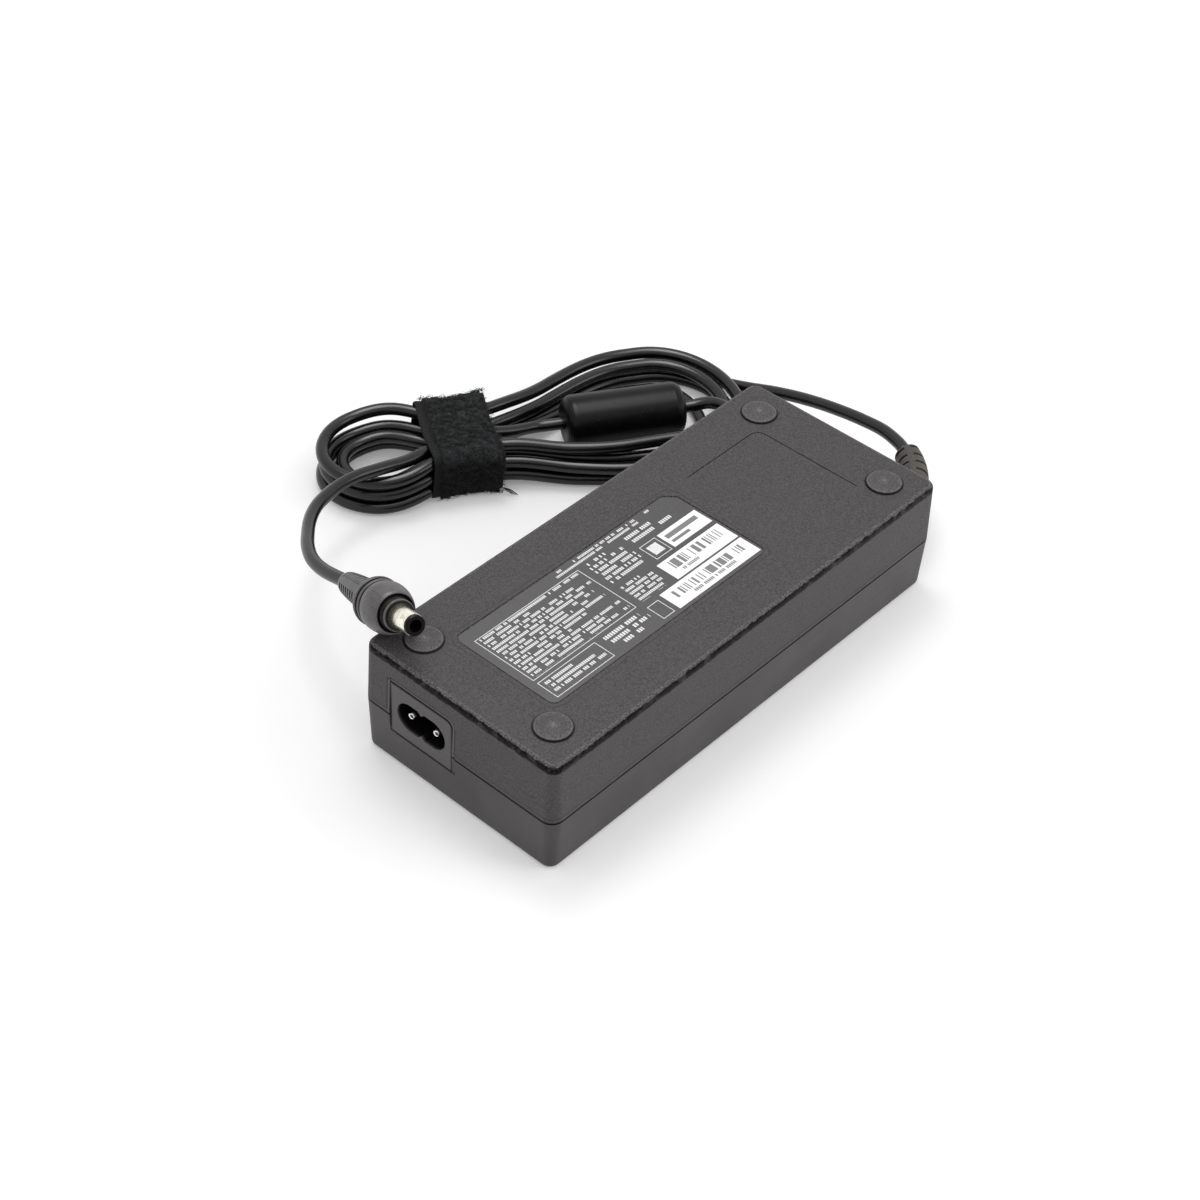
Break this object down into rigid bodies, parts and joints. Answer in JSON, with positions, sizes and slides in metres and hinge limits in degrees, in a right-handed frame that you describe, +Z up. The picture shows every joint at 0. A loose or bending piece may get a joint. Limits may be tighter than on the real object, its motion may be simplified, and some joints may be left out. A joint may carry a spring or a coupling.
{
  "type": "laptop power adapter",
  "caption": "Laptop power adapter: two-shell moulded case with a figure-of-eight mains inlet, and a DC cord bound in a hank with a ferrite core and a barrel plug",
  "frame": {"origin": "centre of the case's flat underside", "axes": "+X along the case from the mains inlet to the cord, +Y across the case towards the side the cord's hank lies on, +Z up, through the face that carries the label and the feet"},
  "size_m": [0.1854, 0.1568, 0.0501],
  "materials": {
    "case_upper": "fine matte grain",
    "case_lower": "satin, finer grain than the upper shell",
    "foot_rubber": "soft matt rubber",
    "label_film": "printed film with white line print",
    "inlet_plastic": "black moulded",
    "pin_metal": "bright nickel plate",
    "board": "green solder mask",
    "film_sheet": "insulating paper",
    "shield": "plain sheet",
    "epoxy_black": "moulded epoxy",
    "lacquer_blue": "dipped lacquer",
    "film_yellow": "yellow plastic box",
    "can_sleeve": "shrunk sleeve",
    "core_green": "coated ring core",
    "core_yellow": "coated powder core",
    "ferrite": "sintered, grey",
    "copper_wire": "enamelled copper",
    "tape_yellow": "polyester tape",
    "heat_sink": "plain sheet",
    "screw_steel": "zinc plate",
    "wire_sheath": "insulated wire",
    "cord_rubber": "satin black",
    "core_cover": "smooth black",
    "tie_fabric": "napped black tape",
    "plug_plastic": "fine grain black",
    "washer_grey": "grey",
    "sleeve_metal": "bright nickel plate",
    "contact_metal": "plain brass"
  },
  "bodies": {
    "root": {"upper_shell": "case_upper", "lower_shell": "case_lower", "foot_1": "foot_rubber", "foot_2": "foot_rubber", "foot_3": "foot_rubber", "foot_4": "foot_rubber", "rating_label": "label_film", "inlet_housing": "inlet_plastic", "inlet_pin_1": "pin_metal", "inlet_pin_2": "pin_metal", "inlet_wires": "wire_sheath", "output_wires": "wire_sheath", "circuit_board": "board", "insulating_sheet": "film_sheet", "shield_plate": "shield", "fuse": "epoxy_black", "varistor": "lacquer_blue", "film_capacitor": "film_yellow", "choke_core": "core_green", "choke_winding": "copper_wire", "boost_core": "core_yellow", "boost_winding": "copper_wire", "bulk_capacitor": "can_sleeve", "y_capacitor": "lacquer_blue", "optocoupler": "epoxy_black", "control_chip": "epoxy_black", "output_choke": "epoxy_black", "output_capacitor_1": "can_sleeve", "output_capacitor_2": "can_sleeve", "output_capacitor_3": "can_sleeve", "transformer_core": "ferrite", "transformer_winding": "tape_yellow", "primary_heat_sink": "heat_sink", "secondary_heat_sink": "heat_sink", "bridge_rectifier": "epoxy_black", "pfc_switch": "epoxy_black", "main_switch": "epoxy_black", "output_rectifier": "epoxy_black", "heat_sink_screws": "screw_steel", "strain_relief": "cord_rubber", "cord_lead": "cord_rubber", "cord_hank": "cord_rubber", "cord_tail": "cord_rubber", "core_cover": "core_cover", "ferrite_sleeve": "ferrite", "cable_tie": "tie_fabric", "plug_body": "plug_plastic", "plug_washer": "washer_grey", "plug_sleeve": "sleeve_metal", "plug_insulator": "inlet_plastic", "plug_contact": "contact_metal"}
  },
  "joints": []
}
